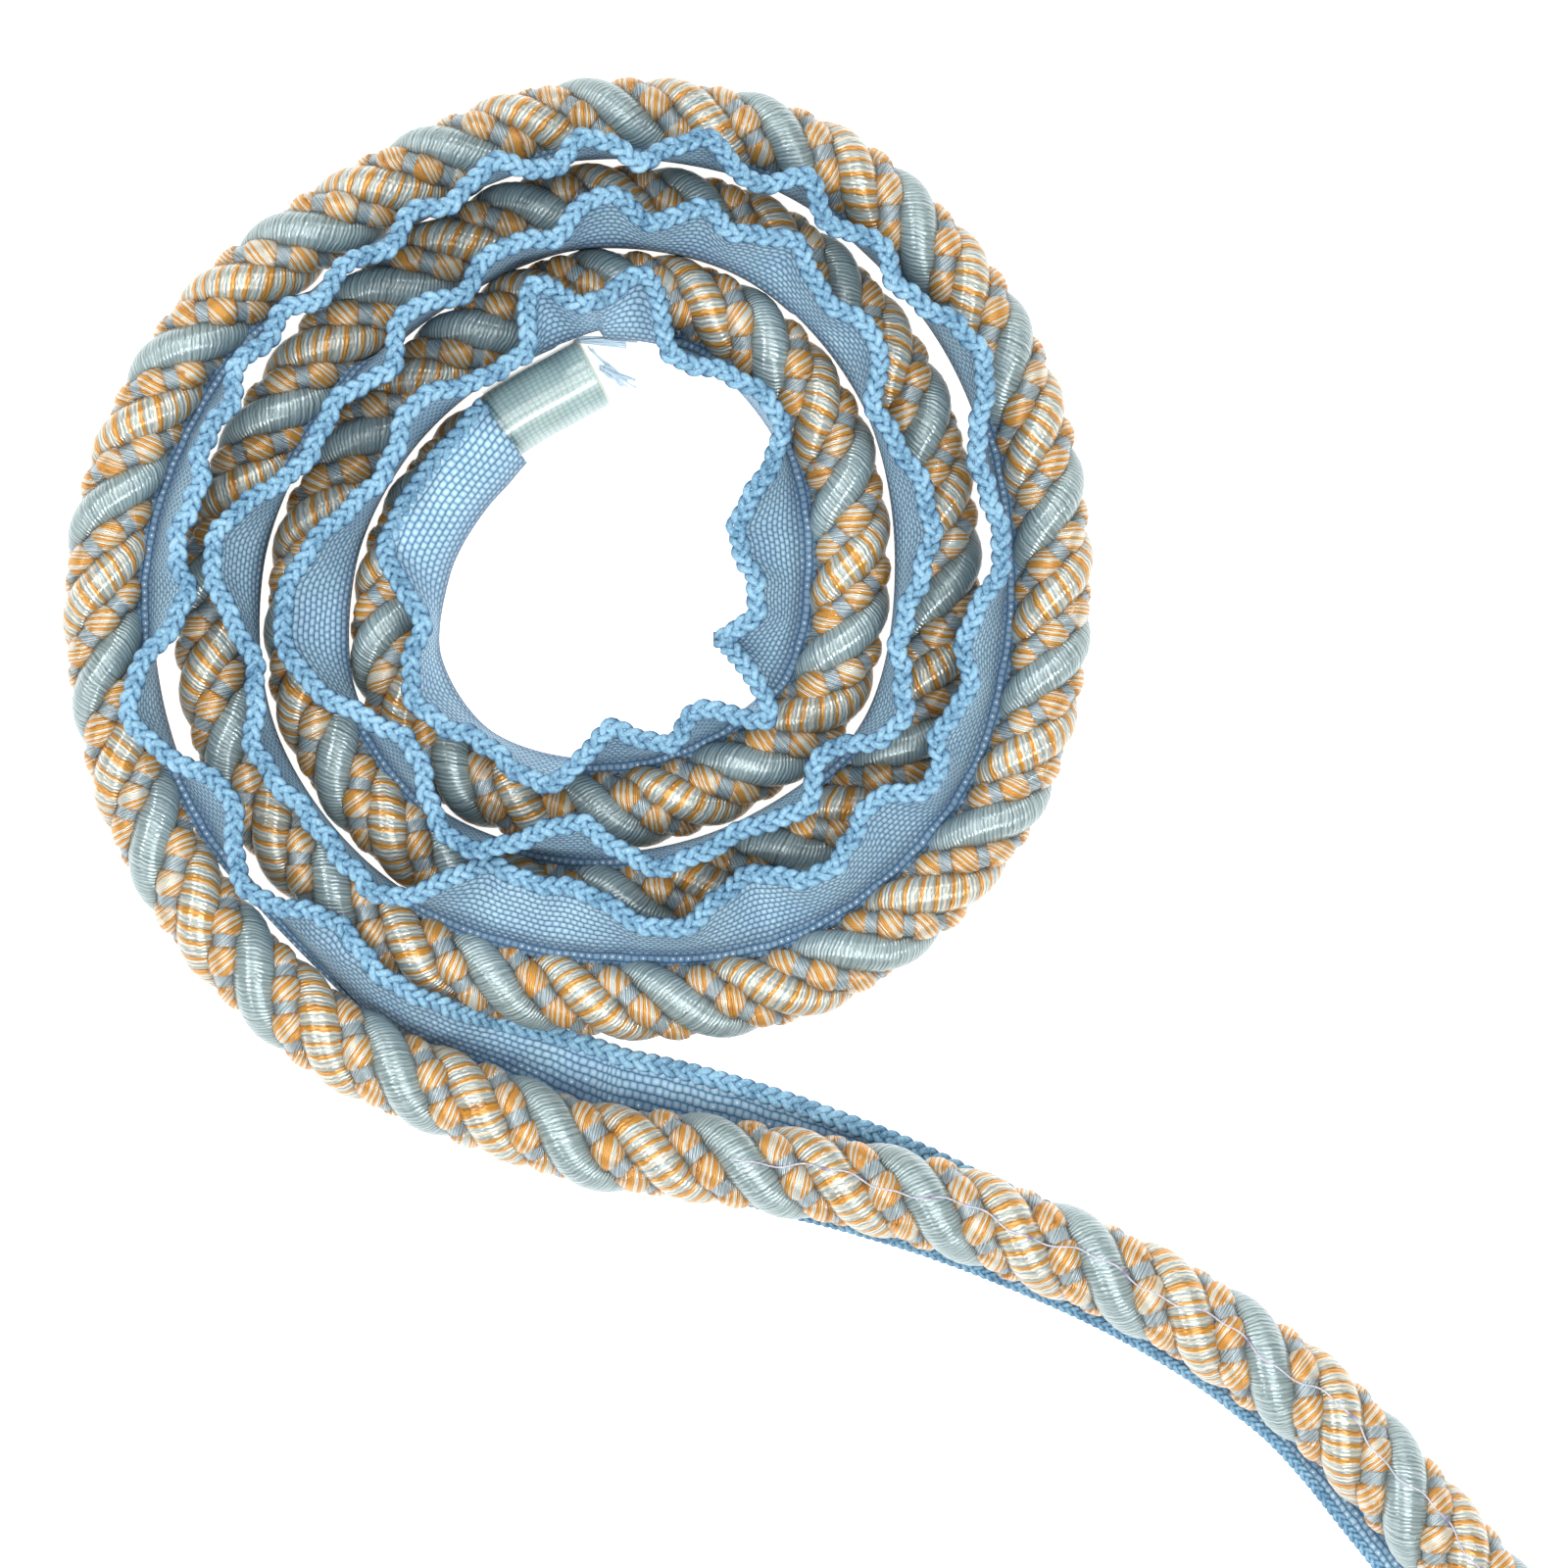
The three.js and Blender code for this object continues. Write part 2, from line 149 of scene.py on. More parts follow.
# Distance along the cord, how far inwards the free edge reaches there, and how far half-way to the next row
LIP_FOLDS = [
    (12, -4.2, -4.2), (24, -4.0, -1.8), (42, 4.8, 1.8), (64, 4.8, 2.6), (84, 9.7, 6.6), (99, 8.8, 3.2),
    (112, 14.4, 11.0), (134, 13.8, 4.6), (169, 8.2, -1.0), (183, 3.4, -1.0), (194, 6.4, 6.2), (200, 6.0, 3.0),
    (218, 5.4, -1.7), (263, 9.0, 3.4), (293, 9.4, 3.4), (317, 4.6, 3.2), (331, 7.2, 2.0), (352, 4.8, 1.4),
    (383, 4.8, 0.5), (399, 2.3, -0.4), (413, 2.2, 0.4), (423, 3.6, 0.3), (437, 5.0, 4.0), (452, 6.7, 4.7),
    (466, 8.6, 6.4), (482, 7.2, 0.5), (514, 6.1, 3.5), (536, 4.9, 4.0), (562, 13.4, 12.8), (574, 13.2, 9.0),
    (602, 14.4, 10.4), (627, 13.2, 8.8), (643, 11.0, 9.2), (657, 10.7, 6.6), (682, 8.0, 3.2),
    (709, 6.9, 5.0), (721, 7.4, 4.2), (734, 7.4, 3.5), (750, 7.0, 4.0), (763, 7.4, 4.6), (777, 7.0, 5.8),
    (787, 8.3, 6.8), (797, 8.6, 7.0), (808, 8.4, 7.2), (817, 9.4, 8.8), (831, 10.4, 9.6), (847, 11.4, 3.2),
    (878, 11.0, 6.6), (902, 11.4, 9.4), (926, 9.4, 10.0), (950, 11.2, 11.2),
]
# Distance along the tail, then how far inwards the free edge and the sewn edge lie
TAIL_LIP = np.array([
    (944, 10.8, -1.8), (955, 10.0, -3.2), (968, 8.4, -4.8), (980, 6.4, -5.5), (992, 4.6, -5.7),
    (1010, 3.9, -5.8), (1030, 3.4, -6.2), (1050, 3.2, -7.4), (1078, 3.2, -8.9),
])

# The plait along the tape's free edge
PLAIT_PERIOD = 5.2
PLAIT_HALF_WIDTH = 0.8
PLAIT_HALF_HEIGHT = 0.36
PLAIT_STRANDS = 3
PLAIT_STRAND_RADIUS = 0.48
PLAIT_STEP = 0.32
PLAIT_SIDES = 7
# Where the sewn edge shows beside the tail, and how much smaller its plait is
SEWN_EDGE_START = 958
SEWN_EDGE_SIZE = 0.62

# The bound end, where the plies start inside the wrap, thinner, and swell to their own size just past it
WRAP_LENGTH = 13
WRAP_RADIUS = 4.65
WRAP_STEPS = 24
WRAP_SIDES = 48
BOUND_SHARE = 0.82
SWELL_START = 11
SWELL_END = 19
CORD_SETBACK = 2.4
# The woven core in the wrap, and how much thinner it is than the wrap
CORE_START = 0.6
CORE_PAST_WRAP = 1.1
CORE_GAP = 0.26
CORE_STEPS = 42
CORE_SIDES = 40
# Distance and share of the core's radius for each ring of its rounded edge
CORE_EDGE = [(0.2, 0.88), (0.35, 0.97)]

# The square cut at the tail's end: how far the plies run on before they are cut, where the first of them is
# cut, and how much sooner each of the others is
PAST_CUT = 1.9
CUT_SETBACK = 0.4
CUT_STAGGER = 0.12

# The loose threads at the bound end: where each bundle starts and points, how many threads it has and how far
# they fan out
FRAYS = [
    ((-0.2, 27.4, 5.6), (7.0, 27.1, 3.6), 16, 0.9),
    ((1.4, 26.4, 5.2), (4.9, 23.4, 1.6), 3, 0.3),
    ((2.9, 24.0, 4.6), (6.1, 22.1, 2.2), 16, 0.8),
]
FRAY_RADIUS = 0.13
FRAY_SIDES = 5
FRAY_STEPS = 9
FRAY_SPREAD = 0.35
FRAY_SAG = 0.7
FRAY_WAVER = 0.25
FRAY_BENDS = 1.5
FRAY_LENGTHS = (0.7, 1.05)

# The sewing thread on the tail
STITCH_START = 962
STITCH_END_GAP = 0.5
STITCH_STEP = 0.4
STITCH_RADIUS = 0.12
STITCH_SIDES = 6
STITCH_LIFT = 0.3
# How far inwards of the cord's middle it runs, and how it sways about that
STITCH_INWARD = 1.6
STITCH_SWAY = 0.6
STITCH_LENGTH = 17
STITCH_WAVER = 0.2
STITCH_WAVERS = 3
# Distances along the cord where the thread goes into it, and how deep and wide the dent there is
STITCH_HOLES = (973, 986, 999, 1011, 1028, 1043, 1060)
STITCH_DENT = 0.2
STITCH_KNOT = 0.14
STITCH_DENT_WIDTH = 0.55
# A height above everything, from which the tops of the plies are looked for
ABOVE_ALL = 30

# The photograph's frame
PHOTO_WIDTH = 192
PHOTO_MIDDLE = (25.2, -27.0)
CAMERA_HEIGHT = 620
SENSOR_WIDTH = 36
# In metres
FLOOR_REACH = 3.0

# The studio's lamps: azimuth and height angle in degrees, length and width in metres, and power in watts
LAMPS = [
    ("key", 150, 62, 0.42, 0.1, 2.8),
    ("fill", -55, 54, 0.42, 0.06, 1.6),
    ("left", 245, 52, 0.36, 0.05, 0.8),
    ("back", 20, 50, 0.36, 0.05, 0.8),
    ("top", 0, 84, 0.3, 0.3, 0.9),
]
LAMP_DISTANCE = 0.65
SKY_STRENGTH = 0.22


def smoothstep(value, low, high):
    share = np.clip((value - low) / (high - low), 0, 1)
    return share * share * (3 - 2 * share)


def mix(a, b, share):
    return a + (b - a) * share


def unit(vectors):
    return vectors / np.linalg.norm(vectors, axis=-1, keepdims=True)


def smooth_line(points):
    """A smooth line through given points, its slope at each taken from the points beside it"""
    points = np.array(points, float)
    gaps = np.linalg.norm(np.diff(points, axis=0), axis=1)
    slopes = np.empty_like(points)
    slopes[1:-1] = (points[2:] - points[:-2]) / (gaps[1:] + gaps[:-1])[:, None]
    slopes[0] = (points[1] - points[0]) / gaps[0]
    slopes[-1] = (points[-1] - points[-2]) / gaps[-1]
    stretches = []
    for i, gap in enumerate(gaps):
        count = max(1, round(gap / FRAME_STEP))
        t = (np.arange(count) / count)[:, None]
        start = 2 * t**3 - 3 * t**2 + 1
        stretches.append(
            start * points[i] + gap * (t**3 - 2 * t**2 + t) * slopes[i]
            + (1 - start) * points[i + 1] + gap * (t**3 - t**2) * slopes[i + 1]
        )
    return np.concatenate([*stretches, points[-1:]])


def middle_line_points():
    """The listed points from the inner end to the tail's, turn after turn"""
    points = [INNER_END]
    for turn in range(1, len(COIL[0])):
        for row in COIL:
            if turn < len(row):
                direction = math.radians(row[0])
                points.append((row[turn] * math.cos(direction), row[turn] * math.sin(direction)))
    return points + TAIL


LINE = smooth_line(middle_line_points())
ALONG = np.concatenate([[0], np.cumsum(np.linalg.norm(np.diff(LINE, axis=0), axis=1))])
TURNED = np.unwrap(np.arctan2(LINE[:, 1], LINE[:, 0]))
CORD_END = ALONG[-1]
END_FORWARD = unit(LINE[-1] - LINE[-2])


def place_on_line(distance, measure=ALONG):
    """Places on the middle line, which runs straight on past its end"""
    place = np.stack([np.interp(distance, measure, LINE[:, axis]) for axis in range(2)], axis=-1)
    return place + END_FORWARD * np.maximum(distance - measure[-1], 0)[..., None]


def forward_at(distance):
    return unit(place_on_line(distance + 1) - place_on_line(np.maximum(distance - 1, 0)))


def in_space(distance, inward, height):
    """Points given by the distance along the cord, inwards of its middle line and above the floor"""
    forward = forward_at(distance)
    middle = place_on_line(distance)
    return np.stack([
        middle[..., 0] - inward * forward[..., 1],
        middle[..., 1] + inward * forward[..., 0],
        height + 0 * inward,
    ], axis=-1)


def gap_inside(distance):
    """Distance to the next turn inside, or infinity where there is none"""
    turned = np.interp(distance, ALONG, TURNED) - 2 * math.pi
    gap = np.linalg.norm(place_on_line(turned, TURNED) - place_on_line(distance), axis=-1)
    return np.where(turned < TURNED[0], math.inf, gap)


def twists_at(distance):
    """Full twists done by a distance; beyond the marks the twist goes on as between the nearest two"""
    first, last = TWIST_MARKS[0], TWIST_MARKS[-1]
    twists = np.interp(distance, TWIST_MARKS, np.arange(len(TWIST_MARKS)) * TWISTS_BETWEEN_MARKS)
    before = (TWIST_MARKS[1] - first) / TWISTS_BETWEEN_MARKS
    after = (last - TWIST_MARKS[-2]) / TWISTS_BETWEEN_MARKS
    return twists + np.minimum(distance - first, 0) / before + np.maximum(distance - last, 0) / after


def fullness(distance):
    return np.interp(distance, FULLNESS[:, 0], FULLNESS[:, 1])


def creep(distance):
    return np.interp(distance, FULLNESS[:, 0], FULLNESS[:, 2])


def swell(distance):
    """Thickness of the cord as a share of its usual one"""
    return mix(BOUND_SHARE, fullness(distance), smoothstep(distance, SWELL_START, SWELL_END))


def tape_underneath(distance):
    return TAPE_UNDERNEATH * smoothstep(distance, ROLL_START, FLAT_START)


def cord_height(distance):
    rest = REST_HEIGHT * fullness(distance)
    return mix(WRAP_RADIUS, rest, smoothstep(distance, SWELL_START, SWELL_END)) + tape_underneath(distance)


# Meshes from rings of points
def grain_places(rings):
    """Lengthwise and roundwise places of each corner, from which a material knows which way its ply runs"""
    steps, sides = len(rings) - 1, rings.shape[1]
    step, side = np.meshgrid(np.arange(steps), np.arange(sides), indexing="ij")
    corners = [
        np.stack([(step + ahead) / steps, (side + turn) / sides], axis=-1)
        for ahead, turn in ((0, 0), (0, 1), (1, 1), (1, 0))
    ]
    around = angles_round(sides)
    disc = np.stack([np.cos(around), np.sin(around)], axis=-1)
    return np.concatenate([np.stack(corners, axis=2).reshape(-1, 2), disc[::-1], disc])


def mesh_from_rings(name, parts, attributes):
    """One closed mesh from sets of rings, each of shape (rings, sides, 3), with a named value for each ring
    or each point"""
    points, faces, start = [], [], 0
    for rings in parts:
        count, sides = rings.shape[:2]
        index = start + np.arange(count * sides).reshape(count, sides)
        here, ahead = index[:-1], index[1:]
        quads = np.stack([here, np.roll(here, -1, 1), np.roll(ahead, -1, 1), ahead], axis=-1)
        faces += quads.reshape(-1, 4).tolist() + [index[0, ::-1].tolist(), index[-1].tolist()]
        points.append(rings.reshape(-1, 3))
        start += count * sides
    mesh = bpy.data.meshes.new(name)
    mesh.from_pydata(((np.concatenate(points) + COIL_MIDDLE) * MM).tolist(), [], faces)
    mesh.polygons.foreach_set("use_smooth", [len(face) == 4 for face in faces])
    for label, values in attributes.items():
        spread = [
            np.broadcast_to(value if value.ndim == 2 else value[:, None], rings.shape[:2]).ravel()
            for value, rings in zip(values, parts)
        ]
        layer = mesh.attributes.new(label, "FLOAT", "POINT")
        layer.data.foreach_set("value", np.concatenate(spread).astype(np.float32))
    grain = np.concatenate([grain_places(rings) for rings in parts])
    layer = mesh.uv_layers.new(name=GRAIN_MAP, do_init=False)
    layer.uv.foreach_set("vector", grain.astype(np.float32).ravel())
    piece = bpy.data.objects.new(name, mesh)
    bpy.context.scene.collection.objects.link(piece)
    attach(piece, "root")
    return piece


def angles_round(sides):
    return np.arange(sides) * 2 * math.pi / sides - math.pi


def sweep(centres, outward, radius, sides):
    """Rings about a line, square to it, whose angles run from -pi to pi about the outward direction"""
    forward = unit(np.gradient(centres, axis=0))
    first = unit(outward - np.sum(outward * forward, axis=1, keepdims=True) * forward)
    second = np.cross(forward, first)
    around = angles_round(sides)
    radius = np.broadcast_to(radius, len(centres))[:, None, None]
    return (
        centres[:, None]
        + radius * np.cos(around)[None, :, None] * first[:, None]
        + radius * np.sin(around)[None, :, None] * second[:, None]
    )


def length_along(centres):
    return np.concatenate([[0], np.cumsum(np.linalg.norm(np.diff(centres, axis=0), axis=1))])


# The plies
def ply_line(distance, quarter, centre):
    """Middle of a ply and the direction out from the cord. quarter counts quarter turns on from the satin."""
    angle = math.pi / 2 + 2 * math.pi * twists_at(distance) + quarter * math.pi / 2
    reach = centre * swell(distance)
    height = cord_height(distance) + reach * np.sin(angle)
    centres = in_space(distance, creep(distance) + reach * np.cos(angle), height)
    level = forward_at(distance) * np.cos(angle)[:, None]
    return centres, np.stack([-level[:, 1], level[:, 0], np.sin(angle)], axis=-1)


def reach_from_middle(rings, distance):
    """How far each point lies from the cord's middle line, as a share of the cord's radius"""
    middle = in_space(distance, creep(distance), cord_height(distance))[:, None]
    forward = np.pad(forward_at(distance), ((0, 0), (0, 1)))[:, None]
    away = rings - middle
    away -= np.sum(away * forward, axis=-1, keepdims=True) * forward
    return np.linalg.norm(away, axis=-1) / (CORD_RADIUS * swell(distance))[:, None]


def trimmed(rings, distance, quarter):
    """A ply rested on what is under it and cut square at the tail's end"""
    rings[..., 2] = np.maximum(rings[..., 2], (tape_underneath(distance) + FLOOR_GAP)[:, None])
    past = (rings[..., :2] - LINE[-1]) @ END_FORWARD + CUT_SETBACK + CUT_STAGGER * quarter
    rings[..., :2] -= np.maximum(past, 0)[..., None] * END_FORWARD
    return rings


def fat_ply(name, quarter, step):
    distance = np.arange(CORD_SETBACK, CORD_END + PAST_CUT, step)
    centres, outward = ply_line(distance, quarter, FAT_PLY_CENTRE)
    rings = sweep(centres, outward, FAT_PLY_RADIUS * swell(distance), FAT_PLY_SIDES)
    along = length_along(centres)[:, None] + FAT_PLY_SLANT * FAT_PLY_RADIUS * angles_round(FAT_PLY_SIDES)
    reach = reach_from_middle(rings, distance)
    return mesh_from_rings(name, [trimmed(rings, distance, quarter)], {"along": [along], "reach": [reach]})


def thin_ply(name, quarter):
    """A thin ply of wound barrels with satin waists between them, a few rings to each"""
    coarse = np.arange(CORD_SETBACK, CORD_END + PAST_CUT, FRAME_STEP)
    measured = length_along(ply_line(coarse, quarter, THIN_PLY_CENTRE)[0])
    phases = np.array(BEAD_RINGS)
    beads = int(measured[-1] / BEAD_LENGTH) + BEADS_TO_SPARE
    starts = np.cumsum(BEAD_LENGTH * random.uniform(*BEAD_LENGTHS, beads))
    lengths = np.diff(np.concatenate([[0], starts]))
    along = (starts[:, None] + lengths[:, None] * (phases - 1)).ravel()
    bulge = np.sin(np.pi * np.clip(phases / BARREL_SHARE, 0, 1)) ** BARREL_SQUARENESS
    fatness = random.uniform(*BEAD_THICKNESSES, beads)
    radius = (mix(WAIST_RADIUS, BARREL_RADIUS, bulge) * mix(1, fatness[:, None], bulge)).ravel()
    barrel = np.tile((phases < BARREL_SHARE).astype(float), beads)
    bulge = np.tile(bulge, beads)
    inside = along < measured[-1]
    along, radius, barrel, bulge = along[inside], radius[inside], barrel[inside], bulge[inside]
    distance = np.interp(along, measured, coarse)
    centres, outward = ply_line(distance, quarter, THIN_PLY_CENTRE)
    rings = sweep(centres, outward, radius * swell(distance), THIN_PLY_SIDES)
    slanted = along[:, None] + THIN_PLY_SLANT * BARREL_RADIUS * angles_round(THIN_PLY_SIDES)
    reach = reach_from_middle(rings, distance)
    return mesh_from_rings(
        name, [trimmed(rings, distance, quarter)],
        {"along": [slanted], "barrel": [barrel], "bulge": [bulge], "reach": [reach]},
    )


# The lip
def lip_course(seam, bend, gap, lean):
    """Course of the tape across its width, in section, for one lean of its free edge from upright: straight
    up from the seam, round its own cord if it leans back, or over the next turn if it leans far in"""
    x0, z0 = bend * math.cos(seam), bend * math.sin(seam)
    away = math.hypot(gap - x0, z0)
    lean_most = math.pi
    if gap < math.inf:
        lean_most = math.atan2(gap - x0, -z0) - math.asin(min(1, bend / away))
    first = min(max(lean, -seam), lean_most)
    side = int(lean > first) - int(lean < first)
    straight = math.sqrt(max(0, away**2 - bend**2)) if side > 0 else 0

    def place(width):
        before = min(width, straight) if side else width
        bent = min((width - before) / bend, abs(lean - first)) if side else 0
        now = first + side * bent
        after = width - before - bent * bend
        swung = side * bend * (math.cos(first) - math.cos(now))
        climbed = side * bend * (math.sin(now) - math.sin(first))
        return (
            x0 + before * math.sin(first) + swung + after * math.sin(now),
            z0 + before * math.cos(first) + climbed + after * math.cos(now),
        )

    return place


def lip_course_for(reach, width, seam, bend, gap):
    """The course whose free edge reaches as far in as asked"""
    low, high = -LEAN_MOST, LEAN_MOST
    for _ in range(HALVINGS):
        lean = (low + high) / 2
        if lip_course(seam, bend, gap, lean)(width)[0] < reach:
            low = lean
        else:
            high = lean
    return lip_course(seam, bend, gap, low)


def lip_reach(distance):
    """How far inwards the free edge reaches, out and back between the rows of the folds"""
    folds = np.array(LIP_FOLDS)
    low = np.clip(np.searchsorted(folds[:, 0], distance, side="right") - 1, 0, len(folds) - 2)
    share = (distance - folds[low, 0]) / (folds[low + 1, 0] - folds[low, 0])
    out, back, following = folds[low, 1], folds[low, 2], folds[low + 1, 1]
    return np.where(
        share < 0.5,
        mix(out, back, smoothstep(share, 0, 0.5)),
        mix(back, following, smoothstep(share, 0.5, 1)),
    )


def lip_sections(distance, shares):
    """Middle of the tape's thickness at shares of its width: inwards and upwards values for each distance"""
    half = SHEET_THICKNESS / 2 + FLOOR_GAP
    height = cord_height(distance)
    bend = CORD_RADIUS * swell(distance) + SHEET_THICKNESS + TAPE_CLEARANCE
    gap = gap_inside(distance)
    rolled = smoothstep(distance, ROLL_START, FLAT_START)
    pinch = np.arccos(np.minimum(1, gap / (2 * bend)))
    seam = mix(np.maximum(SEAM_ANGLE, pinch), -np.arcsin((height - half) / bend), rolled)
    width = mix(LIP_WIDTH, FLAT_WIDTH, rolled)
    reach = lip_reach(distance)
    free, sewn = (np.interp(distance, TAIL_LIP[:, 0], TAIL_LIP[:, k]) for k in (1, 2))
    down = smoothstep(distance, FLAT_START - SETTLE_LENGTH, FLAT_START + SETTLE_LENGTH)
    under = smoothstep(distance, FLAT_START, TAIL_LIP[0, 0])
    sections = np.empty((len(distance), len(shares), 2))
    for i in range(len(distance)):
        course = lip_course_for(reach[i], width[i], seam[i], bend[i], gap[i])
        sections[i] = [course(share * width[i]) for share in shares]
    flat_x = sewn[:, None] + (free - sewn)[:, None] * shares
    sections[..., 0] = mix(sections[..., 0], flat_x, under[:, None])
    sections[..., 1] = np.maximum(half, mix(height[:, None] + sections[..., 1], half, down[:, None]))
    return sections


def pucker(sections, distance, shares):
    """Small uneven ripples square to the tape, growing towards its free edge"""
    lengthwise = np.gradient(sections, axis=1)
    normal = unit(np.stack([-lengthwise[..., 1], lengthwise[..., 0]], axis=-1))
    places = np.arange(0, CORD_END + PUCKER_SPAN, PUCKER_SPAN)
    slow = np.interp(distance, places, random.uniform(*PUCKER_SHARES, len(places)))
    drift = PUCKER_DRIFT * np.sin(distance / PUCKER_DRIFT_LENGTH)
    phase = 2 * math.pi * distance / PUCKER_LENGTH + drift
    rise = PUCKER_HEIGHT * (slow * np.sin(phase))[:, None] * shares**PUCKER_GROWTH
    moved = sections + normal * rise[..., None]
    moved[..., 1] = np.maximum(moved[..., 1], SHEET_THICKNESS / 2 + FLOOR_GAP)
    return moved


def lip_shape():
    distance = np.arange(WRAP_LENGTH + TAPE_CLEARANCE, CORD_END, SHEET_STEP)
    shares = np.linspace(0, 1, SHEET_POINTS)
    return distance, shares, pucker(lip_sections(distance, shares), distance, shares)


def closing_at(distance):
    """1 where the tape's foot closes the gap to the next turn, 0 elsewhere"""
    return sum(
        smoothstep(distance, first, first + CLOSING_LENGTH)
        * (1 - smoothstep(distance, last - CLOSING_LENGTH, last))
        for first, last in CLOSED_STRETCHES
    )


def with_tuck(sections, distance):
    """Adds the sewn edge that goes down between the plies, where the tape isn't under the cord"""
    height = cord_height(distance)[:, None]
    closing = closing_at(distance)[:, None, None]
    between = np.stack([np.minimum(gap_inside(distance)[:, None], WIDEST_GAP) / 2, height], axis=-1)
    root = sections[:, :1] - np.stack([0 * height, height], axis=-1)
    depth = TUCK_DEPTH * (1 - smoothstep(distance, ROLL_START, FLAT_START)) + TUCK_LEAST
    tucks = []
    for share in (1, 0.5):
        inner = root * (1 - share * depth / np.linalg.norm(root[:, 0], axis=1))[:, None, None]
        inner[..., 1] += height
        inner = mix(inner, mix(sections[:, :1], between, share), closing)
        inner[..., 1] = np.maximum(inner[..., 1], SHEET_THICKNESS / 2 + FLOOR_GAP)
        tucks.append(inner)
    return np.concatenate([*tucks, sections], axis=1)


def lip_sheet(distance, shares, sections):
    """The tape, with its places along and across for the weave and its nearness to the cord for a painted
    shadow
    """
    sections = with_tuck(sections, distance)
    lengthwise = unit(np.gradient(sections, axis=1))
    normal = np.stack([-lengthwise[..., 1], lengthwise[..., 0]], axis=-1) * SHEET_THICKNESS / 2
    outline = np.concatenate([(sections + normal)[:, ::-1], sections - normal], axis=1)
    rings = in_space(distance[:, None], outline[..., 0], np.maximum(outline[..., 1], FLOOR_GAP))
    across = np.concatenate([[-TUCK_DEPTH, -TUCK_DEPTH / 2], shares * LIP_WIDTH])
    across = np.tile(np.concatenate([across[::-1], across]), (len(distance), 1))
    flat = smoothstep(distance, ROLL_START, FLAT_START)[:, None]
    coil_shadow_share = (1 - flat) * np.clip(1 - across / ROOT_REACH, 0, 1)
    beside = 1 - smoothstep(np.abs(outline[..., 0]), CORD_RADIUS, CORD_RADIUS + TAIL_SHADE)
    tail_shadow_share = flat * mix(TAIL_SHADE_LEAST, 1, beside)
    return mesh_from_rings(
        "lip_sheet", [rings], {"along": [distance], "across": [across], "painted_cord_shadow": [coil_shadow_share + tail_shadow_share]}
    )


def lip_plait(name, distance, edge, size):
    """Strands that cross one another in a flat plait along an edge of the tape"""
    edge = in_space(distance, edge[:, 0], edge[:, 1])
    measured = length_along(edge)
    along = np.arange(0, measured[-1], PLAIT_STEP)
    line = np.stack([np.interp(along, measured, edge[:, k]) for k in range(3)], axis=-1)
    line[:, 2] = np.maximum(line[:, 2], (PLAIT_STRAND_RADIUS + PLAIT_HALF_HEIGHT) * size)
    forward = unit(np.gradient(line, axis=0))
    side = unit(np.cross([0, 0, 1], forward))
    normal = np.cross(forward, side)
    parts, heights = [], []
    for strand in range(PLAIT_STRANDS):
        turn = 2 * math.pi * (along / PLAIT_PERIOD / size + strand / PLAIT_STRANDS)
        centres = (
            line
            + side * (PLAIT_HALF_WIDTH * size * np.sin(turn))[:, None]
            + normal * (PLAIT_HALF_HEIGHT * size * np.sin(2 * turn))[:, None]
        )
        rings = sweep(centres, normal, PLAIT_STRAND_RADIUS * size, PLAIT_SIDES)
        heights.append(np.sum((rings - line[:, None]) * normal[:, None], axis=-1))
        rings[..., 2] = np.maximum(rings[..., 2], FLOOR_GAP)
        parts.append(rings)
    return mesh_from_rings(name, parts, {"height": heights})


# The bound end
def bound_core():
    """The woven core that shows through the wrap"""
    edge, shares = np.array(CORE_EDGE).T
    distance = np.concatenate([edge, np.linspace(CORE_START, WRAP_LENGTH + CORE_PAST_WRAP, CORE_STEPS)])
    radius = (WRAP_RADIUS - CORE_GAP) * np.concatenate([shares, np.ones(CORE_STEPS)])
    centres = in_space(distance, 0 * distance, cord_height(0 * distance))
    rings = sweep(centres, UP, radius, CORE_SIDES)
    side = radius.max() * 2 * math.pi / CORE_SIDES
    around = np.tile(np.arange(CORE_SIDES) * side, (len(distance), 1))
    return mesh_from_rings("bound_core", [rings], {"along": [distance], "around": [around]})


def wrap_film():
    distance = np.linspace(0, WRAP_LENGTH, WRAP_STEPS)
    centres = in_space(distance, 0 * distance, cord_height(0 * distance))
    rings = sweep(centres, UP, WRAP_RADIUS, WRAP_SIDES)
    rings[..., 2] = np.maximum(rings[..., 2], FLOOR_GAP)
    return mesh_from_rings("wrap_film", [rings], {"along": [distance]})


# Threads
def frayed_threads():
    """Bundles of loose threads, each thread a little bent and sagging"""
    parts = []
    steps = np.linspace(0, 1, FRAY_STEPS)[:, None]
    for start, end, count, fan in FRAYS:
        for _ in range(count):
            tip = np.array(end) + random.uniform(-fan, fan, 3)
            root = np.array(start) + random.uniform(-FRAY_SPREAD, FRAY_SPREAD, 3)
            sag = -FRAY_SAG * UP * (steps * (1 - steps))
            waver = random.uniform(-FRAY_WAVER, FRAY_WAVER, 3) * np.sin(math.pi * FRAY_BENDS * steps)
            line = mix(root, root + (tip - root) * random.uniform(*FRAY_LENGTHS), steps) + sag + waver
            line[:, 2] = np.maximum(line[:, 2], FRAY_RADIUS)
            parts.append(sweep(line, NEARLY_UP, FRAY_RADIUS, FRAY_SIDES))
    return mesh_from_rings("frayed_threads", parts, {})


